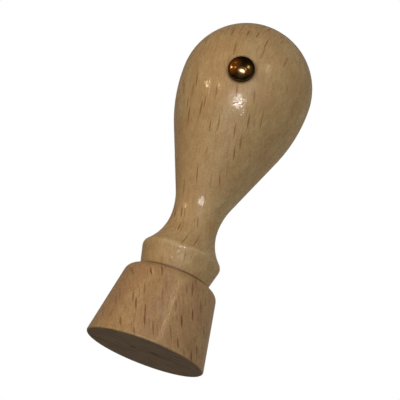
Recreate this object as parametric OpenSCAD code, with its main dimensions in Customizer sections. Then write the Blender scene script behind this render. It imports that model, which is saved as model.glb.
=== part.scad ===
// Turned wooden hand stamp: a pear-shaped handle dowelled to a round base,
// with a domed marker nail that shows which side is the front.
// The origin is the centre of the base's flat lower face, and the front is -Y.

/* [Base] */
// Diameter of the flat face that takes the stamp die
base_d = 30; // [28:0.5:34]
// Height of the base
base_h = 19.6; // [18:0.2:24]
// Diameter of the flat on top of the base
base_flat_d = 18.9; // [18.6:0.1:20]
// Radius of the rounded upper shoulder
shoulder_r = 2.6; // [2:0.1:3]
// Radius that breaks the lower edge
base_edge_r = 0.4; // [0.2:0.1:0.8]

/* [Handle] */
// Diameter of the foot that stands on the base
foot_d = 17.5; // [16.6:0.1:18.4]
// Diameter of the collar
collar_d = 20.3; // [19.8:0.1:21]
// Radius of the collar's round edge
collar_edge_r = 1.6; // [1.4:0.1:1.8]
// Diameter of the neck at its thinnest
neck_d = 12.5; // [12:0.1:13.5]
// Height of the thinnest place above the base
neck_rise = 15.8; // [15.4:0.1:17]
// Radius of the cove between the collar and the neck
lower_cove_r = 12.7; // [12.2:0.1:13.2]
// Radius of the cove between the neck and the flank
upper_cove_r = 18.2; // [16:0.2:19]
// Largest diameter of the bulb
bulb_d = 34.7; // [33:0.1:36]
// Height of the bulb's widest level above the base
bulb_rise = 55.3; // [54.8:0.1:60]
// Radius of the arc from the widest level down to the flank
bulb_lower_r = 43; // [40:0.5:44]

/* [Dowel] */
// Diameter of the fluted dowel
dowel_d = 6; // [5:0.5:7]
// Length of the dowel
dowel_l = 30; // [24:1:30]
// How much of the dowel is in the base
dowel_in_base = 14; // [10:0.5:15]
// Number of glue flutes along the dowel
flutes = 12; // [8:1:16]

/* [Marker nail] */
// Diameter of the domed cap
cap_d = 6.8; // [6:0.1:8]
// Height of the cap from its rim to its crown
cap_h = 2.3; // [2.1:0.1:2.6]
// Thickness of the cap's sheet metal
cap_wall = 0.4; // [0.3:0.05:0.5]
// Diameter of the pin
pin_d = 1.3; // [1:0.1:1.6]
// Length of the pin below its flat head
pin_l = 11; // [8:0.5:13]
// How far the nail is below the bulb's widest level
nail_drop = 3.3; // [0:0.1:6]

/* [Hidden] */
$fn = 128;
flute_fn = 24;
pin_fn = 48;

// Base
flat_r = base_flat_d / 2;
shoulder_c = [flat_r, base_h - shoulder_r];

// Handle heights above the base's lower face
neck_z = base_h + neck_rise;
bulb_z = base_h + bulb_rise;

// Centres of the arcs in the handle's outline, as [radius, height]
bulb_r = bulb_d / 2;
lower_cove_c = [neck_d / 2 + lower_cove_r, neck_z];
upper_cove_c = [neck_d / 2 + upper_cove_r, neck_z];
bulb_lower_c = [bulb_r - bulb_lower_r, bulb_z];

// The collar's edge touches the lower cove, which sets its height
collar_edge_x = collar_d / 2 - collar_edge_r;
collar_edge_drop = sqrt(pow(lower_cove_r + collar_edge_r, 2) - pow(lower_cove_c.x - collar_edge_x, 2));
collar_edge_c = [collar_edge_x, neck_z - collar_edge_drop];

// Where the straight stretches meet the arcs that they touch
base_side_top = touch_point([base_d / 2, base_edge_r], shoulder_c, shoulder_r);
chamfer_top = touch_point([foot_d / 2, base_h], collar_edge_c, collar_edge_r);
cove_end = collar_edge_c + collar_edge_r * unit(lower_cove_c - collar_edge_c);
flank_turn = let (way = bulb_lower_c - upper_cove_c)
    direction(way) + acos((upper_cove_r + bulb_lower_r) / norm(way));
flank_low = upper_cove_c + upper_cove_r * [cos(flank_turn), sin(flank_turn)];
flank_high = bulb_lower_c - bulb_lower_r * [cos(flank_turn), sin(flank_turn)];

// Dowel
dowel_z = base_h - dowel_in_base;
dowel_chamfer = 0.7;
flute_r = 0.4;
// Room for glue past each end of the dowel
glue_gap = 0.5;

// Nail: it stands square to the bulb's surface, on a flat pressed into the wood
nail_tilt = asin(nail_drop / bulb_lower_r);
nail_surface_r = bulb_lower_c.x + bulb_lower_r * cos(nail_tilt);
cap_r = cap_d / 2;
cap_skirt = 0.3;
cap_shoulder_r = 1.5;
tip_l = 2;
// The tack's flat head fills the cap's skirt
tack_head_t = cap_skirt;
// Clearance round the cap, and how far the seat is pressed below the level that just clears its rim
seat_gap = 0.05;
seat_extra = 0.02;
seat_r = cap_r + seat_gap;
seat_depth = nail_surface_r - sqrt(pow(nail_surface_r, 2) - pow(seat_r, 2)) + seat_extra;
// A cutter reaches this far past the surface that it opens
past = 1;

// Angle of a vector, and the vector at length 1
function direction(v) = atan2(v.y, v.x);
function unit(v) = v / norm(v);

// Point where a line up from p touches the circle of radius r at c, on the side away from the axis
function touch_point(p, c, r) = let (
    way = c - p,
    reach = sqrt(pow(norm(way), 2) - r * r),
    turn = direction(way) - asin(r / norm(way))
) p + reach * [cos(turn), sin(turn)];

// Rectangle between two heights, from the axis out to radius r
module band(low, high, r) {
    translate([0, low]) square([r, high - low]);
}

// Half outline of the base
module base_outline() {
    polygon([
        [0, 0], [base_d / 2 - base_edge_r, 0], [base_d / 2 - base_edge_r, base_edge_r],
        [base_d / 2, base_edge_r], base_side_top, shoulder_c, [flat_r, base_h], [0, base_h],
    ]);
    translate([base_d / 2 - base_edge_r, base_edge_r]) circle(r = base_edge_r);
    translate(shoulder_c) circle(r = shoulder_r);
}

module base() {
    color("tan") difference() {
        rotate_extrude() base_outline();
        translate([0, 0, dowel_z - glue_gap])
            cylinder(d = dowel_d, h = dowel_in_base + glue_gap + past);
    }
}

// Half outline of the collar, from the foot up to the lower cove
module collar_outline() {
    polygon([
        [0, base_h], [foot_d / 2, base_h], chamfer_top, collar_edge_c, cove_end, [0, cove_end.y],
    ]);
    translate(collar_edge_c) circle(r = collar_edge_r);
}

// Half outline of the neck: a cove below the thinnest place and a wider one above it
module neck_outline() {
    difference() {
        band(cove_end.y, neck_z, cove_end.x);
        translate(lower_cove_c) circle(r = lower_cove_r);
    }
    difference() {
        band(neck_z, flank_low.y, flank_low.x);
        translate(upper_cove_c) circle(r = upper_cove_r);
    }
}

// Half outline of the bulb: straight flank, lower arc and round crown
module bulb_outline() {
    polygon([[0, flank_low.y], flank_low, flank_high, [0, flank_high.y]]);
    intersection() {
        band(flank_high.y, bulb_z, bulb_r);
        translate(bulb_lower_c) circle(r = bulb_lower_r);
    }
    intersection() {
        band(bulb_z, bulb_z + bulb_r, bulb_r);
        translate([0, bulb_z]) circle(r = bulb_r);
    }
}

module handle() {
    color("burlywood") difference() {
        rotate_extrude() {
            collar_outline();
            neck_outline();
            bulb_outline();
        }
        translate([0, 0, base_h - past])
            cylinder(d = dowel_d, h = dowel_l - dowel_in_base + glue_gap + past);
        at_nail() {
            cylinder(r = seat_r, h = cap_h);
            pin_shape();
        }
    }
}

// Fluted dowel with both ends chamfered
module dowel() {
    color("wheat") translate([0, 0, dowel_z]) difference() {
        rotate_extrude() polygon([
            [0, 0], [dowel_d / 2 - dowel_chamfer, 0], [dowel_d / 2, dowel_chamfer],
            [dowel_d / 2, dowel_l - dowel_chamfer], [dowel_d / 2 - dowel_chamfer, dowel_l], [0, dowel_l],
        ]);
        for (i = [0 : flutes - 1])
            rotate(i * 360 / flutes) translate([dowel_d / 2, 0, -past])
                cylinder(r = flute_r, h = dowel_l + 2 * past, $fn = flute_fn);
    }
}

// Moves to the nail's seat, with +Z along the nail and out of the wood
module at_nail() {
    translate([0, -nail_surface_r, bulb_z - nail_drop]) rotate([90 + nail_tilt, 0, 0])
        translate([0, 0, -seat_depth]) children();
}

// Pin with a pointed tip, below the seat
module pin_shape() {
    rotate_extrude($fn = pin_fn) polygon([
        [0, 0], [pin_d / 2, 0], [pin_d / 2, -(pin_l - tip_l)], [0, -pin_l],
    ]);
}

// Pin with the flat head that the cap is pressed over
module nail_pin() {
    color("silver") at_nail() {
        pin_shape();
        cylinder(r = cap_r - cap_wall, h = tack_head_t);
    }
}

// Half outline of a dome over a straight skirt: a shoulder arc that runs into a crown arc
module dome_outline(r, h, shoulder) {
    rise = h - cap_skirt;
    crown = (pow(r - shoulder, 2) + rise * rise - shoulder * shoulder) / (2 * (rise - shoulder));
    crown_c = [0, h - crown];
    shoulder_c = [r - shoulder, cap_skirt];
    turn = direction(shoulder_c - crown_c);
    meet = crown_c + crown * [cos(turn), sin(turn)];
    square([r, cap_skirt]);
    intersection() {
        translate(shoulder_c) circle(r = shoulder);
        band(cap_skirt, meet.y, r);
    }
    band(cap_skirt, meet.y, shoulder_c.x);
    intersection() {
        translate(crown_c) circle(r = crown);
        band(meet.y, h, meet.x);
    }
}

module nail_cap() {
    color("darkgoldenrod") at_nail() rotate_extrude() difference() {
        dome_outline(cap_r, cap_h, cap_shoulder_r);
        dome_outline(cap_r - cap_wall, cap_h - cap_wall, cap_shoulder_r - cap_wall);
    }
}

base();
dowel();
handle();
nail_pin();
nail_cap();
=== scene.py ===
"""Looks of a turned wooden hand stamp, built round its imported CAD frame."""
import math
from types import SimpleNamespace

import bmesh
import bpy
from mathutils import Matrix, Vector


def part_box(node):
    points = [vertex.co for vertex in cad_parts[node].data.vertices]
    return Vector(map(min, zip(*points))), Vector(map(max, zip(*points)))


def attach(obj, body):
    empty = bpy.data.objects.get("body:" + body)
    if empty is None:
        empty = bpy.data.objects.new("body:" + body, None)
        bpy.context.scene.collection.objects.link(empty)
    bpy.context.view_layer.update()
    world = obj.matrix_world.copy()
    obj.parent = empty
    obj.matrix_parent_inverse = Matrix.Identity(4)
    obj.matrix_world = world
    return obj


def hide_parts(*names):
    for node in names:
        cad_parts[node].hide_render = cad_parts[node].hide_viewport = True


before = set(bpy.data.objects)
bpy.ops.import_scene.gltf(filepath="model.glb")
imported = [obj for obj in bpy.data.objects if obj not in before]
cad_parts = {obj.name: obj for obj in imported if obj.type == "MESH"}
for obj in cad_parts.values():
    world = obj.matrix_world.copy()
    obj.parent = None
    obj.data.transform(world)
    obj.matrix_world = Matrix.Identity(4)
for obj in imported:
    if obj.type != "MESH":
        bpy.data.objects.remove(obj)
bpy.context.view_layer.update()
scene = bpy.context.scene

MM = 0.001

# Sizes that the frame's boxes give, in millimetres, with the gap for glue past each end of the dowel
base_low, base_high = (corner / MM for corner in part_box("base"))
handle_low, handle_high = (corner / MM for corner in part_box("handle"))
dowel_low, dowel_high = (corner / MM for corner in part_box("dowel"))
BASE_R = (base_high.x - base_low.x) / 2
BASE_H = base_high.z
BULB_R = (handle_high.x - handle_low.x) / 2
TOP_Z = handle_high.z
BULB_Z = TOP_Z - BULB_R
GLUE_GAP = 0.5
BORE_LOW = dowel_low.z - GLUE_GAP
BORE_HIGH = dowel_high.z + GLUE_GAP

# Sizes of the turned outline that no box gives, in millimetres
BASE_FLAT_R = 9.45
SHOULDER_R = 2.6
BASE_EDGE_R = 0.4
FOOT_R = 8.75
COLLAR_R = 10.15
COLLAR_EDGE_R = 1.6
NECK_R = 6.25
NECK_Z = BASE_H + 15.8
COLLAR_Z = BASE_H + 6.0
LOWER_COVE_R = 12.7
UPPER_COVE_R = 18.2
BULB_LOWER_R = 43.0
BORE_R = 3.0

# The foot's edge is broken only in the looks, in millimetres
FOOT_EDGE_R = 0.35

# The marker nail, in millimetres
NAIL_DROP = 3.3
CAP_R = 3.4
CAP_H = 2.3
CAP_SKIRT = 0.3
CAP_SHOULDER_R = 1.5
CAP_WALL = 0.4
SEAT_R = CAP_R + 0.05
SEAT_DEPTH = 0.37

# How far the wood bends round the seat, in millimetres
SEAT_SOFT = 0.5


# ---------------------------------------------------------------- outlines

def unit(way):
    return way / way.length


def at_angle(degrees):
    return Vector((math.cos(math.radians(degrees)), math.sin(math.radians(degrees))))


def angle_of(way):
    return math.degrees(math.atan2(way.y, way.x))


def arc(centre, radius, start, end, step=3.0):
    """Points of an arc from one angle to another, both ends included, a step of degrees apart or less."""
    count = max(2, math.ceil(abs(end - start) / step))
    turns = (start + (end - start) * i / count for i in range(count + 1))
    return [centre + radius * at_angle(turn) for turn in turns]


def line(start, end, count):
    """Points along a straight stretch, both ends left out."""
    return [start.lerp(end, i / count) for i in range(1, count)]


def touch_turn(point, centre, radius):
    """Angle at which a line from the point touches the circle on its outer side."""
    way = centre - point
    return angle_of(way) - math.degrees(math.asin(radius / way.length))


def base_outline():
    """Closed half outline of the base, from the middle of its lower face round to its bore."""
    shoulder = Vector((BASE_FLAT_R, BASE_H - SHOULDER_R))
    edge = Vector((BASE_R - BASE_EDGE_R, BASE_EDGE_R))
    side_turn = touch_turn(Vector((BASE_R, BASE_EDGE_R)), shoulder, SHOULDER_R) - 90
    low_arc = arc(edge, BASE_EDGE_R, -90, side_turn, step=12)
    high_arc = arc(shoulder, SHOULDER_R, side_turn, 90)
    face = line(Vector((0, 0)), low_arc[0], count=14)
    side = line(low_arc[-1], high_arc[0], count=24)
    bore = [Vector((BORE_R, BASE_H)), Vector((BORE_R, BORE_LOW)), Vector((0, BORE_LOW))]
    return [Vector((0, 0))] + face + low_arc + side + high_arc + bore


def handle_outline():
    """Closed half outline of the handle, from the end of its bore round to the top of the bulb."""
    lower_cove = Vector((NECK_R + LOWER_COVE_R, NECK_Z))
    upper_cove = Vector((NECK_R + UPPER_COVE_R, NECK_Z))
    bulb_low = Vector((BULB_R - BULB_LOWER_R, BULB_Z))
    edge_x = COLLAR_R - COLLAR_EDGE_R
    edge_drop = math.sqrt((LOWER_COVE_R + COLLAR_EDGE_R) ** 2 - (lower_cove.x - edge_x) ** 2)
    collar = Vector((edge_x, NECK_Z - edge_drop))
    foot = Vector((FOOT_R, BASE_H))

    collar_start = touch_turn(foot, collar, COLLAR_EDGE_R) - 90
    collar_end = angle_of(lower_cove - collar)
    way = bulb_low - upper_cove
    flank = angle_of(way) + math.degrees(math.acos((UPPER_COVE_R + BULB_LOWER_R) / way.length))

    foot_edge = foot + Vector((-FOOT_EDGE_R, FOOT_EDGE_R))
    foot_arc = arc(foot_edge, FOOT_EDGE_R, -90, collar_start, step=15)
    collar_arc = arc(collar, COLLAR_EDGE_R, collar_start, collar_end, step=6)
    lower_arc = arc(lower_cove, LOWER_COVE_R, collar_end + 180, 180, step=2)[1:]
    upper_arc = arc(upper_cove, UPPER_COVE_R, 180, flank, step=2)[1:]
    bulb_arc = arc(bulb_low, BULB_LOWER_R, flank - 180, 0, step=0.6)
    crown = arc(Vector((0, BULB_Z)), BULB_R, 0, 90, step=1.8)[1:]
    chamfer = line(foot_arc[-1], collar_arc[0], count=16)
    straight = line(upper_arc[-1], bulb_arc[0], count=24)
    bore = [Vector((0, BORE_HIGH)), Vector((BORE_R, BORE_HIGH)), Vector((BORE_R, BASE_H))]
    return (bore + foot_arc + chamfer + collar_arc + lower_arc
            + upper_arc + straight + bulb_arc + crown)


def dome_outline(radius, height, shoulder):
    """Half outline of a dome over a straight skirt, from the rim up to the crown."""
    rise = height - CAP_SKIRT
    crown_r = ((radius - shoulder) ** 2 + rise ** 2 - shoulder ** 2) / (2 * (rise - shoulder))
    crown = Vector((0, height - crown_r))
    corner = Vector((radius - shoulder, CAP_SKIRT))
    meet = angle_of(corner - crown)
    rim = [Vector((radius, 0)), Vector((radius, CAP_SKIRT / 2))]
    return rim + arc(corner, shoulder, 0, meet, step=5) + arc(crown, crown_r, meet, 90, step=2)[1:]


# ---------------------------------------------------------------- meshes

# Points nearer the axis than this, in millimetres, are on it
ON_AXIS = 1e-6

# Edges that turn more than this stay sharp, in degrees
SHARP_ANGLE = 40


def turned(name, outline, segments=256, place=None, shape=None):
    """A closed solid turned from a half outline in millimetres that starts and ends on the axis."""
    mesh = bmesh.new()
    rings = []
    for point in outline:
        if point.x < ON_AXIS:
            rings.append([mesh.verts.new((0, 0, point.y))])
            continue
        turns = (2 * math.pi * i / segments for i in range(segments))
        rings.append([mesh.verts.new((point.x * math.cos(t), point.x * math.sin(t), point.y))
                      for t in turns])
    for low, high in zip(rings, rings[1:]):
        for i in range(segments):
            j = (i + 1) % segments
            corners = [low[i % len(low)], low[j % len(low)], high[j % len(high)], high[i % len(high)]]
            mesh.faces.new(list(dict.fromkeys(corners)))
    if shape:
        for vert in mesh.verts:
            vert.co = shape(vert.co)
    bmesh.ops.recalc_face_normals(mesh, faces=mesh.faces)
    mesh.transform(Matrix.Scale(MM, 4) @ (place or Matrix.Identity(4)))
    data = bpy.data.meshes.new(name)
    mesh.to_mesh(data)
    mesh.free()
    data.shade_smooth()
    data.set_sharp_from_angle(angle=math.radians(SHARP_ANGLE))
    piece = bpy.data.objects.new(name, data)
    scene.collection.objects.link(piece)
    return piece


def nail_place():
    """Matrix from the nail's own frame, in mm: +Z out of the wood, z = 0 on the seat."""
    tilt = math.asin(NAIL_DROP / BULB_LOWER_R)
    surface_r = BULB_R - BULB_LOWER_R + BULB_LOWER_R * math.cos(tilt)
    surface = Matrix.Translation((0, -surface_r, BULB_Z - NAIL_DROP))
    turn = Matrix.Rotation(math.pi / 2 + tilt, 4, "X")
    return surface @ turn @ Matrix.Translation((0, 0, -SEAT_DEPTH))


NAIL = nail_place()


def smoothstep(value):
    value = min(1.0, max(0.0, value))
    return value * value * (3 - 2 * value)


def press_seat(point):
    """Presses the wood flat under the nail's cap, with a soft edge."""
    local = NAIL.inverted() @ point
    off_axis = math.hypot(local.x, local.y)
    if point.y > 0 or local.z < 0 or off_axis > SEAT_R + SEAT_SOFT:
        return point
    local.z *= smoothstep((off_axis - SEAT_R) / SEAT_SOFT)
    return NAIL @ local


# ---------------------------------------------------------------- material nodes

class Graph:
    """Short calls that add and link a node tree's nodes."""

    def __init__(self, tree):
        tree.nodes.clear()
        self.tree = tree

    def node(self, kind, inputs=None, **settings):
        node = self.tree.nodes.new(kind)
        for name, value in settings.items():
            setattr(node, name, value)
        for name, value in (inputs or {}).items():
            self.feed(node.inputs[name], value)
        return node

    def feed(self, socket, value):
        if isinstance(value, bpy.types.NodeSocket):
            self.tree.links.new(value, socket)
        else:
            socket.default_value = value

    def math(self, operation, a, b=0.0, c=0.0):
        return self.node("ShaderNodeMath", {0: a, 1: b, 2: c}, operation=operation).outputs[0]

    def total(self, first, *rest):
        for value in rest:
            first = self.math("ADD", first, value)
        return first

    def product(self, first, *rest):
        for value in rest:
            first = self.math("MULTIPLY", first, value)
        return first

    def vector(self, operation, a, b):
        return self.node("ShaderNodeVectorMath", {0: a, 1: b}, operation=operation).outputs[0]

    def dot(self, a, b):
        node = self.node("ShaderNodeVectorMath", {0: a, 1: b}, operation="DOT_PRODUCT")
        return node.outputs["Value"]

    def combine(self, x, y, z=0.0):
        return self.node("ShaderNodeCombineXYZ", {0: x, 1: y, 2: z}).outputs[0]

    def split(self, vector):
        return self.node("ShaderNodeSeparateXYZ", {0: vector}).outputs

    def smooth(self, value, low, high, to_low=0.0, to_high=1.0):
        """A soft step from to_low to to_high, as the value runs from low to high."""
        inputs = {"Value": value, "From Min": low, "From Max": high, "To Min": to_low, "To Max": to_high}
        return self.node("ShaderNodeMapRange", inputs, interpolation_type="SMOOTHSTEP").outputs[0]

    def span(self, value, low, high):
        """A value from 0 to 1 taken to a stretch from low to high."""
        return self.math("MULTIPLY_ADD", value, high - low, low)

    def noise(self, vector, scale=1.0, detail=2.0, roughness=0.5):
        inputs = {"Vector": vector, "Scale": scale, "Detail": detail, "Roughness": roughness}
        return self.node("ShaderNodeTexNoise", inputs).outputs["Fac"]

    def mix(self, factor, a, b):
        """One colour from two. A mix node's inputs 0, 6 and 7 are its factor and its colours."""
        node = self.node("ShaderNodeMix", data_type="RGBA")
        for index, value in ((0, factor), (6, a), (7, b)):
            self.feed(node.inputs[index], value)
        return node.outputs[2]

    def bump(self, height, strength, distance):
        inputs = {"Height": height, "Strength": strength, "Distance": distance}
        return self.node("ShaderNodeBump", inputs).outputs[0]

    def finish(self, shader, kind="ShaderNodeOutputMaterial"):
        self.tree.links.new(shader, self.node(kind).inputs["Surface"])


def colour(*rgb):
    """A colour given as sRGB from 11 to 255, as the linear value that nodes take."""
    return tuple(((level / 255 + 0.055) / 1.055) ** 2.4 for level in rgb) + (1.0,)


def new_material(name):
    material = bpy.data.materials.new(name)
    material.use_nodes = True
    return material, Graph(material.node_tree)


# ---------------------------------------------------------------- wood

# Colours of the beech, and how strongly its flecks and threads show
HANDLE_TONES = {
    "light": colour(217, 191, 142), "warm": colour(204, 172, 120), "pink": colour(206, 169, 121),
    "late": colour(180, 145, 96), "fleck": colour(146, 95, 46), "end": colour(178, 138, 90),
    "fleck_depth": 0.85, "thread_depth": 0.42,
}
BASE_TONES = {
    "light": colour(208, 175, 125), "warm": colour(195, 156, 106), "pink": colour(194, 154, 114),
    "late": colour(158, 120, 81), "fleck": colour(116, 68, 32), "end": colour(158, 132, 110),
    "fleck_depth": 0.82, "thread_depth": 0.38,
}
FACE_TONES = {**BASE_TONES, "late": colour(130, 102, 78)}
# A dark tone for dust and dirty marks, and for painted shade along the joint and round the nail
DIRT_AND_SHADE_TONE = colour(100, 66, 36)

# Rays: the cell that each one has, their lengths and widths in mm, and the share of cells that keep one
# Small rays: their size against the large ones, their own turn of the seed, and how faint they are
HANDLE_RAYS = {"cell": (2.4, 5.6), "length": (2.8, 6.0), "width": (0.34, 0.56), "share": 1.0}
BASE_RAYS = {"cell": (2.3, 4.7), "length": (2.4, 4.8), "width": (0.42, 0.62), "share": 0.95}
SMALL_RAYS = {"size": 0.6, "seed": 7.3, "depth": 0.45}

# The seed shifts the cells this much more along the grain, and a lower fade makes more flecks strong
RAY_SEED_SLANT = 1.7
RAY_FADE = 0.4

# Each ray has its own stretch of depth, so the flecks differ from face to face
RIBBON_SPREAD = 40.0
RIBBON_PER_MM = 0.21

# Noises in the wood: cycles per mm, levels of detail and roughness
MOTTLE = (0.17, 4.0, 0.6)
CLOUD = (0.4, 3.0)
WEAR_AND_SHEEN = (0.7,)
SKIN = (2.8, 1.0)

# How far the fibres sway from a straight line, in mm, and in how many cycles per mm
SWAY_REACH = 5.0
SWAY_SCALE = 0.045

# Fibres: cycles per mm across and along the grain, and levels of detail, with the depth of the fine ones
# against the threads
STREAK = (0.3, 0.03, 3.0)
THREAD = (1.5, 0.11, 3.0)
FINE = (3.6, 0.3, 2.0)
FINE_SHARE = 0.8

# Growth rings: the pith's distance in mm, rings per mm, their wobble in rings and its scale, and depth
PITH_AWAY = 70.0
RINGS_PER_MM = 0.36
RING_WOBBLE = 1.6
WOBBLE_SCALE = 0.07
RING_DEPTH = 0.16

# How a pattern shows as its value runs from the first number to the second: the amounts at the two,
# which are 0 and 1 where they aren't given. Distances are in mm.
FADES = {
    "ray_edge": (-0.03, 0.1),
    "ribbon": (-0.95, -0.7),
    "fleck_on_side": (0.55, 0.95, 1.0, 0.15),
    "fleck_on_end": (0.7, 0.95, 1.0, 0.0),
    "ring_rise": (0.1, 0.8),
    "ring_fall": (1.0, 0.8),
    "ring_on_end": (0.7, 0.95, 0.0, 0.6),
    "ring_patch": (0.42, 0.58),
    "streak": (0.3, 0.7),
    "mottle": (0.35, 0.7),
    "cloud": (0.48, 0.7, 0.0, 0.3),
    "thread": (0.42, 0.72),
    "fine": (0.45, 0.75),
    "end_tone": (0.6, 1.0, 0.0, 0.6),
    # Lighter lower edge and collar: wear, and a painted sheen
    "low_edge_height": (0.8, 0.3, 0.0, 0.5),
    "low_edge_radius": (-0.6, -0.4),
    "collar_radius": (-0.35, 0.0, 0.0, 0.4),
    "collar_height": (3.0, 2.0),
    "wear_and_sheen_patch": (0.3, 0.55),
    # A dark line along the joint, and a haze of painted shade round it
    "seam_core": (1.0, 0.4, 0.0, 0.75),
    "seam_shade_haze": (3.0, 0.3, 0.0, 0.1),
    # Painted shade on the wood round the nail's cap
    "shade_round_nail": (0.8, 0.1, 0.0, 0.6),
    "mark": (1.0, 0.1),
    "skin": (0.43, 0.56),
    "coat_round_nail": (0.3, 1.3, 0.15, 1.0),
}

# Dirty spots on the lower face as (x, y, half length, half width, depth), in mm
FACE_MARKS = ((-2.3, -2.1, 1.1, 1.1, 0.9), (3.0, -2.4, 1.6, 1.8, 0.35), (4.4, -2.3, 3.2, 2.4, 0.25))

# The wood's surface: its least and most roughness, and its relief, whose depth is in metres
WOOD_IOR = 1.5
WOOD_ROUGHNESS = (0.5, 0.66)
RELIEF_SHARE = 0.5
RELIEF_STRENGTH = 0.25
RELIEF_DEPTH = 0.00008

# Lacquer: its dust, the size in mm of the cells that it dried in, and how far they tip, less so upwards.
# A higher spread leaves most cells almost level.
COAT_ROUGHNESS = 0.1
COAT_IOR = 1.5
COAT_DIRT = 0.1
GRIT_SIZE = 0.15
GRIT_TILT = 1.28
GRIT_SPREAD = 2.0
GRIT_UPWARDS = 0.45


# The middle of a noise's colour and of a cell's
MIDDLE = (0.5, 0.5, 0.5)


def wood_field(g, grain, pith):
    """Where a point lies in the wood and on the stamp, in mm, and which way its surface faces."""
    grain = unit(Vector(grain))
    pith = unit(Vector(pith) - grain * grain.dot(Vector(pith)))
    side = grain.cross(pith)
    coordinates = g.node("ShaderNodeTexCoord").outputs
    point = g.vector("MULTIPLY", coordinates["Object"], (1 / MM,) * 3)
    sway = g.node("ShaderNodeTexNoise", {"Vector": point, "Scale": SWAY_SCALE, "Detail": 1.0})
    centred = g.vector("SUBTRACT", sway.outputs["Color"], MIDDLE)
    swayed = g.vector("ADD", point, g.vector("MULTIPLY", centred, (SWAY_REACH,) * 3))
    x, y, z = g.split(point)
    nail = g.node("ShaderNodeVectorMath", {0: point, 1: tuple(NAIL.translation)}, operation="DISTANCE")
    return SimpleNamespace(
        point=point, swayed=swayed, z=z,
        along=g.dot(swayed, tuple(grain)),
        deep=g.dot(swayed, tuple(pith)),
        across=g.dot(swayed, tuple(side)),
        facing_side=g.math("ABSOLUTE", g.dot(coordinates["Normal"], tuple(side))),
        facing_end=g.math("ABSOLUTE", g.dot(coordinates["Normal"], tuple(grain))),
        radius=g.math("SQRT", g.total(g.product(x, x), g.product(y, y))),
        from_cap=g.math("SUBTRACT", nail.outputs["Value"], CAP_R),
    )


def fade(g, name, value):
    """How much a pattern shows at a value, by its row in FADES."""
    return g.smooth(value, *FADES[name])


def ray_flecks(g, field, rays, size, seed):
    """Beech rays: spindles along the grain that run on as ribbons towards the pith."""
    cell_u, cell_v = (side * size for side in rays["cell"])
    shortest, longest = (length * size / 2 for length in rays["length"])
    thinnest, widest = (width * size / 2 for width in rays["width"])
    u = g.math("MULTIPLY_ADD", field.across, 1 / cell_u, seed)
    v = g.math("MULTIPLY_ADD", field.along, 1 / cell_v, seed * RAY_SEED_SLANT)
    cells = g.node("ShaderNodeTexVoronoi", {"Vector": g.combine(u, v), "Scale": 1.0, "Randomness": 1.0},
                   voronoi_dimensions="2D")
    centre_u, centre_v, _ = g.split(cells.outputs["Position"])
    chance = g.split(cells.outputs["Color"])
    off_u = g.product(g.math("ABSOLUTE", g.math("SUBTRACT", u, centre_u)), cell_u)
    off_v = g.product(g.math("SUBTRACT", v, centre_v), cell_v)
    reach = g.math("DIVIDE", off_v, g.span(chance[0], shortest, longest))
    taper = g.math("SUBTRACT", 1.0, g.product(reach, reach))
    half_width = g.product(taper, g.span(chance[1], thinnest, widest))
    spindle = fade(g, "ray_edge", g.math("SUBTRACT", half_width, off_u))
    phase = g.math("MULTIPLY_ADD", chance[0], RIBBON_SPREAD, g.product(field.deep, RIBBON_PER_MM))
    ribbon = fade(g, "ribbon", g.math("SINE", phase))
    kept = g.smooth(chance[2], 1 - rays["share"], 1.0)
    return g.product(spindle, ribbon, g.math("POWER", kept, RAY_FADE))


def all_flecks(g, field, rays, seed):
    """Rays with smaller, fainter ones among them: faint where a ray is cut lengthways, none on end grain."""
    large = ray_flecks(g, field, rays, 1.0, seed)
    small = ray_flecks(g, field, rays, SMALL_RAYS["size"], seed + SMALL_RAYS["seed"])
    flecks = g.math("MAXIMUM", large, g.product(small, SMALL_RAYS["depth"]))
    on_side = fade(g, "fleck_on_side", field.facing_side)
    return g.product(flecks, on_side, fade(g, "fleck_on_end", field.facing_end))


def growth_rings(g, field):
    """Late wood of the growth rings: it rises slowly through the ring and ends at once."""
    away = g.math("SUBTRACT", PITH_AWAY, field.deep)
    ring_r = g.math("SQRT", g.total(g.product(field.across, field.across), g.product(away, away)))
    wobble = g.noise(g.vector("MULTIPLY", field.swayed, (WOBBLE_SCALE,) * 3))
    turn = g.math("MULTIPLY_ADD", wobble, RING_WOBBLE, g.product(ring_r, RINGS_PER_MM))
    ring = g.math("FRACT", turn)
    return g.product(fade(g, "ring_rise", ring), fade(g, "ring_fall", ring))


def fibre(g, field, across_scale, along_scale, detail):
    """Noise drawn out along the grain."""
    place = g.combine(g.product(field.across, across_scale), g.product(field.deep, across_scale),
                      g.product(field.along, along_scale))
    return g.noise(place, 1.0, detail)


def clean_wood(g, field, tones, flecks, thread, fine):
    """Colour of the clean wood, from its broad streaks to its flecks and rings."""
    mottle = g.noise(field.swayed, *MOTTLE)
    on_end = g.product(fade(g, "ring_on_end", field.facing_end), fade(g, "ring_patch", mottle))
    depth = tones["thread_depth"]
    wood = g.mix(fade(g, "streak", fibre(g, field, *STREAK)), tones["light"], tones["warm"])
    for amount, tone in (
        (fade(g, "mottle", mottle), "pink"),
        (fade(g, "cloud", g.noise(field.swayed, *CLOUD)), "late"),
        (g.smooth(thread, *FADES["thread"], to_high=depth), "late"),
        (g.smooth(fine, *FADES["fine"], to_high=depth * FINE_SHARE), "late"),
        (g.product(flecks, tones["fleck_depth"]), "fleck"),
        (fade(g, "end_tone", field.facing_end), "end"),
        (g.product(growth_rings(g, field), g.total(RING_DEPTH, on_end)), "late"),
    ):
        wood = g.mix(amount, wood, tones[tone])
    return wood


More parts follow.
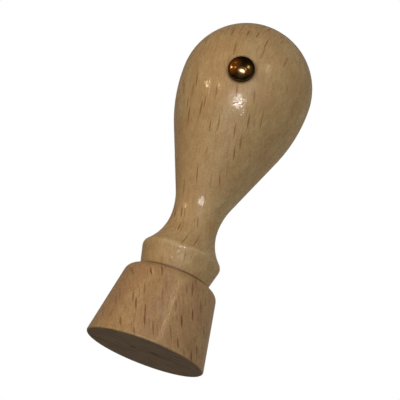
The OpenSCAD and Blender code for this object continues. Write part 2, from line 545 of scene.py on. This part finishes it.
def worn_and_sheened_edges(g, field):
    """How far the base's lower edge and the handle's collar are made lighter, in patches: partly wear and
    partly a painted sheen.
    """
    low_radius = fade(g, "low_edge_radius", g.math("SUBTRACT", field.radius, BASE_R))
    low_edge = g.product(fade(g, "low_edge_height", field.z), low_radius)
    collar_radius = fade(g, "collar_radius", g.math("SUBTRACT", field.radius, COLLAR_R))
    off_collar = g.math("ABSOLUTE", g.math("SUBTRACT", field.z, COLLAR_Z))
    collar = g.product(collar_radius, fade(g, "collar_height", off_collar))
    patches = fade(g, "wear_and_sheen_patch", g.noise(field.point, *WEAR_AND_SHEEN))
    return g.product(g.total(low_edge, collar), patches)


def dirt_and_shade_amount(g, field, marks):
    """Dirty marks on the lower face, a dark line and painted shade along the joint between base and handle,
    and painted shade round the nail.
    """
    off_joint = g.math("ABSOLUTE", g.math("SUBTRACT", field.z, BASE_H))
    seam = g.math("MAXIMUM", off_joint, g.math("SUBTRACT", field.radius, FOOT_R))
    dirt_and_shade = g.total(fade(g, "seam_core", seam), fade(g, "seam_shade_haze", seam),
                   fade(g, "shade_round_nail", field.from_cap))
    x, y, _ = g.split(field.swayed)
    for mark_x, mark_y, half_length, half_width, depth in marks:
        off_x = g.product(g.math("SUBTRACT", x, mark_x), 1 / half_length)
        off_y = g.product(g.math("SUBTRACT", y, mark_y), 1 / half_width)
        off = g.total(g.product(off_x, off_x), g.product(off_y, off_y))
        dirt_and_shade = g.total(dirt_and_shade, g.smooth(off, *FADES["mark"], to_high=depth))
    return dirt_and_shade


def gritty_normal(g, point):
    """The surface's normal, tipped in each small cell of dried lacquer: a little in most, far in a few."""
    cells = g.node("ShaderNodeTexVoronoi", {"Vector": point, "Scale": 1 / GRIT_SIZE, "Randomness": 1.0})
    push = g.vector("SUBTRACT", cells.outputs["Color"], MIDDLE)
    reach = g.product(g.math("POWER", g.dot(push, push), GRIT_SPREAD), GRIT_TILT)
    tip = g.vector("MULTIPLY", push, g.combine(reach, reach, g.product(reach, GRIT_UPWARDS)))
    normal = g.node("ShaderNodeNewGeometry").outputs["Normal"]
    return g.vector("NORMALIZE", g.vector("ADD", normal, tip), (0.0,) * 3)


def beech(name, grain, pith, seed, tones, rays, lacquered=False, marks=()):
    """Turned beech, with rings, rays and fibres in three dimensions, its wear and dirt, a painted sheen on
    its edges and painted shade at the joint and round the nail.

    grain is the way the fibres run and pith the way to the heart of the tree."""
    material, g = new_material(name)
    field = wood_field(g, grain, pith)
    flecks = all_flecks(g, field, rays, seed)
    thread = fibre(g, field, *THREAD)
    fine = fibre(g, field, *FINE)
    wood = clean_wood(g, field, tones, flecks, thread, fine)
    # Lighter on the base's lower edge and round the collar: wear, and a painted sheen
    wood = g.mix(worn_and_sheened_edges(g, field), wood, tones["light"])
    # Dirty marks, and painted shade along the joint and round the nail
    wood = g.mix(dirt_and_shade_amount(g, field, marks), wood, DIRT_AND_SHADE_TONE)
    relief = g.product(g.math("SUBTRACT", g.total(thread, fine), flecks), RELIEF_SHARE)
    settings = {
        "Base Color": wood, "Roughness": g.span(fine, *WOOD_ROUGHNESS), "IOR": WOOD_IOR,
        "Normal": g.bump(relief, RELIEF_STRENGTH, RELIEF_DEPTH),
    }
    if lacquered:
        # The lacquer's skin is grainy, with dust in it, and thin where it was scraped round the nail
        skin = fade(g, "skin", g.noise(field.point, *SKIN))
        settings.update({
            "Base Color": g.mix(g.product(skin, COAT_DIRT), wood, DIRT_AND_SHADE_TONE),
            "Coat Weight": g.product(skin, fade(g, "coat_round_nail", field.from_cap)),
            "Coat Roughness": COAT_ROUGHNESS, "Coat IOR": COAT_IOR,
            "Coat Normal": gritty_normal(g, field.point),
        })
    shader = g.node("ShaderNodeBsdfPrincipled", settings)
    g.finish(shader.outputs[0])
    return material


# ---------------------------------------------------------------- metal

CAP_BRIGHT = colour(140, 114, 82)
CAP_DULL = colour(104, 78, 50)
CAP_TARNISH = colour(21, 20, 17)
CAP_GLINT = colour(120, 110, 100)
WIRE_TONES = (colour(190, 190, 192), colour(150, 150, 154))

# Cloud in the cap's metal: cycles per metre, levels of detail and roughness, and how it blends two tones
CAP_CLOUD = (900.0, 3.0, 0.6)
CAP_BLEND = (0.4, 0.7)

# Cycles per metre along each axis of the scuffs on the cap and of the drawing marks on the wire
SCUFF_STRETCH = (5000.0, 1500.0, 1500.0)
DRAWN_STRETCH = (6000.0, 300.0, 6000.0)

# Heights in mm above the seat where the tarnish starts and is full, how ragged the cloud makes it, how
# dark it is, and how metallic the cap is without and with it
TARNISH_HEIGHTS = (1.6, 0.6)
TARNISH_RAGGED = 0.5
TARNISH_DEPTH = 0.85
TARNISH_METALLIC = (1.0, 0.2)

# Roughness of the metals: the clean cap's over the cloud, what scuffs and tarnish add, and the wire's
CAP_ROUGHNESS = (0.35, 0.75, 0.1, 0.2)
SCUFF_ROUGHNESS = 0.06
TARNISH_ROUGHNESS = 0.2
WIRE_ROUGHNESS = (0.2, 0.4)

# Relief of the metals: strength and depth in metres
CAP_RELIEF = (0.1, 0.0001)
WIRE_RELIEF = (0.15, 0.00005)


def polished_cap(name):
    """Bronze-toned polished sheet metal, with tarnish that darkens towards the rim."""
    material, g = new_material(name)
    place = g.node("ShaderNodeTexCoord").outputs["Object"]
    out = unit(NAIL.to_3x3() @ Vector((0, 0, 1)))
    height = g.math("SUBTRACT", g.product(g.dot(place, tuple(out)), 1 / MM), out.dot(NAIL.translation))
    cloud = g.noise(place, *CAP_CLOUD)
    scuff = g.noise(g.vector("MULTIPLY", place, SCUFF_STRETCH))
    tarnish = g.smooth(g.total(height, g.product(cloud, TARNISH_RAGGED)), *TARNISH_HEIGHTS)
    clean = g.mix(g.smooth(cloud, *CAP_BLEND), CAP_BRIGHT, CAP_DULL)
    rough = g.total(g.smooth(cloud, *CAP_ROUGHNESS), g.product(scuff, SCUFF_ROUGHNESS),
                    g.product(tarnish, TARNISH_ROUGHNESS))
    shader = g.node("ShaderNodeBsdfPrincipled", {
        "Base Color": g.mix(g.product(tarnish, TARNISH_DEPTH), clean, CAP_TARNISH),
        "Metallic": g.span(tarnish, *TARNISH_METALLIC), "Roughness": rough,
        "Normal": g.bump(cloud, *CAP_RELIEF), "Specular Tint": CAP_GLINT,
    })
    g.finish(shader.outputs[0])
    return material


def drawn_wire(name):
    """Bright steel wire with drawing marks along it."""
    material, g = new_material(name)
    place = g.node("ShaderNodeTexCoord").outputs["Object"]
    marks = g.noise(g.vector("MULTIPLY", place, DRAWN_STRETCH))
    shader = g.node("ShaderNodeBsdfPrincipled", {
        "Base Color": g.mix(marks, *WIRE_TONES), "Metallic": 1.0,
        "Roughness": g.span(marks, *WIRE_ROUGHNESS), "Normal": g.bump(marks, *WIRE_RELIEF),
    })
    g.finish(shader.outputs[0])
    return material


# ---------------------------------------------------------------- camera

# The camera's lens and sensor, its turn about the stamp in degrees, and its distance and aim in millimetres
LENS_MM = 102.78
SENSOR_MM = 36.0
VIEW_AZIMUTH = 9.8
VIEW_ELEVATION = -19.49
VIEW_ROLL = 21.18
VIEW_DISTANCE = 289.0
AIM = Vector((-0.776, -0.123, 41.59))

# Nearest and furthest distance that the camera sees, in metres
CLIP_START = 0.01
CLIP_END = 20.0


def towards(azimuth, elevation):
    """Unit vector to a place seen from the stamp. Azimuth 0 is -Y and 90 is +X."""
    a, e = math.radians(azimuth), math.radians(elevation)
    return Vector((math.sin(a) * math.cos(e), -math.cos(a) * math.cos(e), math.sin(e)))


def aimed(origin, target):
    """Rotation that points an object's -Z from origin at target, with its Y upwards."""
    return (target - origin).to_track_quat("-Z", "Y").to_matrix().to_4x4()


def add_camera():
    data = bpy.data.cameras.new("camera")
    data.sensor_width = SENSOR_MM
    data.lens = LENS_MM
    data.clip_start = CLIP_START
    data.clip_end = CLIP_END
    camera = bpy.data.objects.new("camera", data)
    scene.collection.objects.link(camera)
    aim = AIM * MM
    origin = aim + towards(VIEW_AZIMUTH, VIEW_ELEVATION) * VIEW_DISTANCE * MM
    roll = Matrix.Rotation(math.radians(VIEW_ROLL), 4, "Z")
    camera.matrix_world = Matrix.Translation(origin) @ aimed(origin, aim) @ roll
    scene.camera = camera


add_camera()


# ---------------------------------------------------------------- pieces

# For each piece of wood, the ways of its grain and its pith, and its own pattern
HANDLE_GRAIN = (-0.12, 0.05, 1.0)
HANDLE_PITH = (0.25, 1.0, 0.0)
HANDLE_SEED = 3.1
BASE_GRAIN = (-0.4, 0.0, 1.0)
BASE_PITH = (-0.3, 1.0, 0.0)
BASE_SEED = 11.7
DOWEL_GRAIN = (0.02, 0.0, 1.0)
DOWEL_PITH = (1.0, 0.3, 0.0)
DOWEL_SEED = 5.5

# The wood is bare up to this share of the height of the base's rounded lower edge
BARE_SHARE = 0.6

handle_wood = beech("handle_beech", HANDLE_GRAIN, HANDLE_PITH, HANDLE_SEED, HANDLE_TONES, HANDLE_RAYS,
                    lacquered=True)
base_wood = beech("base_beech", BASE_GRAIN, BASE_PITH, BASE_SEED, BASE_TONES, BASE_RAYS, lacquered=True)
face_wood = beech("base_bare_face", BASE_GRAIN, BASE_PITH, BASE_SEED, FACE_TONES, BASE_RAYS,
                  marks=FACE_MARKS)
dowel_wood = beech("dowel_beech", DOWEL_GRAIN, DOWEL_PITH, DOWEL_SEED, HANDLE_TONES, HANDLE_RAYS)

handle = turned("handle_turned", handle_outline(), shape=press_seat)
handle.data.materials.append(handle_wood)

base = turned("base_turned", base_outline())
base.data.materials.append(base_wood)
base.data.materials.append(face_wood)
bare_z = BARE_SHARE * BASE_EDGE_R * MM
for polygon in base.data.polygons:
    polygon.material_index = int(polygon.center.z < bare_z)

outer = dome_outline(CAP_R, CAP_H, CAP_SHOULDER_R)
inner = dome_outline(CAP_R - CAP_WALL, CAP_H - CAP_WALL, CAP_SHOULDER_R - CAP_WALL)
cap = turned("nail_cap_domed", outer[::-1] + inner, segments=96, place=NAIL)
cap.data.materials.append(polished_cap("cap_polished"))

for piece, node, slot in ((handle, "handle", "handle_wood"), (base, "base", "base_wood"),
                          (cap, "nail_cap", "cap_metal")):
    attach(piece, "root")
    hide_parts(node)

for node, material in (("dowel", dowel_wood), ("nail_pin", drawn_wire("pin_wire"))):
    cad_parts[node].data.materials.clear()
    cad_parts[node].data.materials.append(material)


# ---------------------------------------------------------------- floor

# Sizes of the floor, and where it fades from shaded to even, in metres
FLOOR_HALF = 2.0
FLOOR_DROP = 0.0003
FLOOR_FADE = (0.12, 0.45)
FLOOR_TONE = colour(228, 227, 224)
FLOOR_GLOW = colour(236, 235, 232)
FLOOR_GLOW_LEVEL = 0.72
FLOOR_SHADED = colour(190, 189, 186)


def floor_material():
    """Pale and shaded round the stamp, even further out, and clear from below."""
    material, g = new_material("floor_pale")
    place = g.node("ShaderNodeTexCoord").outputs["Object"]
    away = g.node("ShaderNodeVectorMath", {0: place}, operation="LENGTH").outputs["Value"]
    glow = g.node("ShaderNodeEmission", {"Color": FLOOR_GLOW, "Strength": FLOOR_GLOW_LEVEL}).outputs[0]
    shaded = g.node("ShaderNodeBsdfDiffuse", {"Color": FLOOR_SHADED}).outputs[0]
    near = g.node("ShaderNodeAddShader", {0: glow, 1: shaded}).outputs[0]
    far = g.node("ShaderNodeEmission", {"Color": FLOOR_TONE, "Strength": 1.0}).outputs[0]
    top = g.node("ShaderNodeMixShader", {0: g.smooth(away, *FLOOR_FADE), 1: near, 2: far}).outputs[0]
    under = g.node("ShaderNodeBsdfTransparent").outputs[0]
    side = g.node("ShaderNodeNewGeometry").outputs["Backfacing"]
    g.finish(g.node("ShaderNodeMixShader", {0: side, 1: top, 2: under}).outputs[0])
    return material


def add_floor():
    """A plain pale floor that the stamp stands on. It has no underside, so the view from below is clear."""
    mesh = bmesh.new()
    mesh.faces.new([mesh.verts.new((x * FLOOR_HALF, y * FLOOR_HALF, -FLOOR_DROP))
                    for x, y in ((-1, -1), (1, -1), (1, 1), (-1, 1))])
    data = bpy.data.meshes.new("floor")
    mesh.to_mesh(data)
    mesh.free()
    floor = bpy.data.objects.new("floor", data)
    scene.collection.objects.link(floor)
    floor.data.materials.append(floor_material())
    floor.visible_diffuse = False
    floor.visible_glossy = False
    floor.visible_shadow = False


# ---------------------------------------------------------------- sky

WHITE = colour(255, 255, 255)
WARM_SIDE = colour(255, 242, 225)
COOL_SIDE = colour(225, 240, 255)
DARK_ROOM = colour(40, 38, 36)

# Soft glows in the mirrored room: azimuth, elevation, inner and outer angle in degrees, level and colour
GLOWS = (
    (189, 19, 30, 110, 0.8, colour(142, 134, 120)),
    (-56, 7, 0, 75, 0.65, colour(228, 155, 58)),
    (40, 12, 0, 60, 0.3, colour(190, 165, 70)),
    (10, -38, 5, 45, 0.8, colour(122, 124, 128)),
    (4, -5, 5, 36, 0.7, colour(215, 200, 180)),
)
GLOW_FALL = 4.0


def background(g, tone, strength=1.0):
    return g.node("ShaderNodeBackground", {"Color": tone, "Strength": strength}).outputs[0]


def dim_daylight(g, x, y, z):
    """The sky's dim light, from above and from behind the stamp, warmer from the left."""
    behind = g.smooth(y, low=-0.1, high=0.9, to_low=0.02, to_high=0.1)
    above = g.smooth(z, low=0.2, high=1.0, to_high=0.15)
    below = g.smooth(z, low=0.1, high=-0.4, to_high=0.12)
    low_behind = g.product(g.smooth(y, low=-0.1, high=0.8), below)
    tint = g.mix(g.smooth(x, low=-0.6, high=0.6), WARM_SIDE, COOL_SIDE)
    return background(g, tint, g.total(low_behind, behind, above))


def mirrored_room(g, way):
    """The dark room with soft glows that polished surfaces mirror."""
    room = DARK_ROOM
    for azimuth, elevation, inner, outer, level, tone in GLOWS:
        near = g.dot(way, tuple(towards(azimuth, elevation)))
        soft = g.smooth(near, math.cos(math.radians(outer)), math.cos(math.radians(inner)))
        room = g.mix(g.product(g.math("POWER", soft, GLOW_FALL), level), room, tone)
    return background(g, room)


def add_sky():
    """White to the eye, down to the floor's tone at the horizon. It lights the stamp only dimly."""
    world = bpy.data.worlds.new("studio")
    world.use_nodes = True
    scene.world = world
    g = Graph(world.node_tree)
    way = g.node("ShaderNodeTexCoord").outputs["Generated"]
    x, y, z = g.split(way)
    seen = background(g, g.mix(g.smooth(z, low=0.0, high=0.08), FLOOR_TONE, WHITE))
    unseen = {1: dim_daylight(g, x, y, z), 2: mirrored_room(g, way)}
    ray = g.node("ShaderNodeLightPath").outputs
    light = g.node("ShaderNodeMixShader", {0: ray["Is Glossy Ray"], **unseen}).outputs[0]
    sky = g.node("ShaderNodeMixShader", {0: ray["Is Camera Ray"], 1: light, 2: seen})
    g.finish(sky.outputs[0], "ShaderNodeOutputWorld")


# ---------------------------------------------------------------- lights

DAYLIGHT = (1.0, 0.98, 0.95)
SOFT_WARM = (1.0, 0.94, 0.86)
LEFT_WARM = (1.0, 0.93, 0.84)
RIGHT_COOL = (0.75, 0.92, 1.0)
BACK_WARM = (1.0, 0.95, 0.93)
BACK_COOL = (0.9, 0.97, 1.0)
LAMP = (1.0, 0.72, 0.42)

# Name, azimuth, elevation, distance and size in metres, watts and tint
MIRRORED_LIGHTS = (
    ("key", 4.5, -4.2, 0.8, (0.24, 0.12), 1.9, DAYLIGHT),
    ("key_wing", 2, -4, 0.85, (0.5, 0.16), 0.75, SOFT_WARM),
    ("key_hook", 18, 12, 0.8, (0.14, 0.1), 0.1, DAYLIGHT),
    ("back_key", 180, 0, 0.8, (0.16, 0.06), 0.5, BACK_COOL),
    ("lamp_far_left", -57.5, 8.7, 0.42, (0.034, 0.034), 0.12, LAMP),
    ("lamp_left", -35, 7.6, 0.42, (0.03, 0.03), 0.045, LAMP),
    ("lamp_high_left", -44, 30, 0.42, (0.03, 0.03), 0.018, LAMP),
    ("lamp_right", 27.5, 29, 0.42, (0.06, 0.06), 0.08, LAMP),
)

# Lights that fill the shade and leave no highlight
FILL_LIGHTS = (
    ("front_fill", 12, -14, 0.8, (0.2, 0.2), 0.05, DAYLIGHT),
    ("front_top_fill", 10, 42, 0.8, (0.3, 0.3), 0.3, DAYLIGHT),
    ("left_fill", -65, -15, 0.9, (0.3, 0.3), 0.9, LEFT_WARM),
    ("right_fill", 85, -15, 0.9, (0.3, 0.3), 0.3, RIGHT_COOL),
    ("top_fill", 190, 45, 0.9, (0.4, 0.4), 1.1, DAYLIGHT),
    ("side_fill", 130, 35, 0.9, (0.4, 0.4), 0.6, DAYLIGHT),
    ("low_back_fill", 150, -10, 0.8, (0.2, 0.1), 2.5, BACK_WARM),
)


def add_light(name, azimuth, elevation, distance, size, watts, tint):
    """A rectangular light that looks at the middle of the stamp."""
    data = bpy.data.lights.new(name, "AREA")
    data.shape = "RECTANGLE"
    data.size, data.size_y = size
    data.energy = watts
    data.color = tint
    light = bpy.data.objects.new(name, data)
    scene.collection.objects.link(light)
    middle = Vector((0, 0, TOP_Z / 2)) * MM
    origin = middle + towards(azimuth, elevation) * distance
    light.matrix_world = Matrix.Translation(origin) @ aimed(origin, middle)
    return light


add_floor()
add_sky()
for row in MIRRORED_LIGHTS:
    add_light(*row)
for row in FILL_LIGHTS:
    add_light(*row).visible_glossy = False
scene.view_settings.view_transform = "Standard"
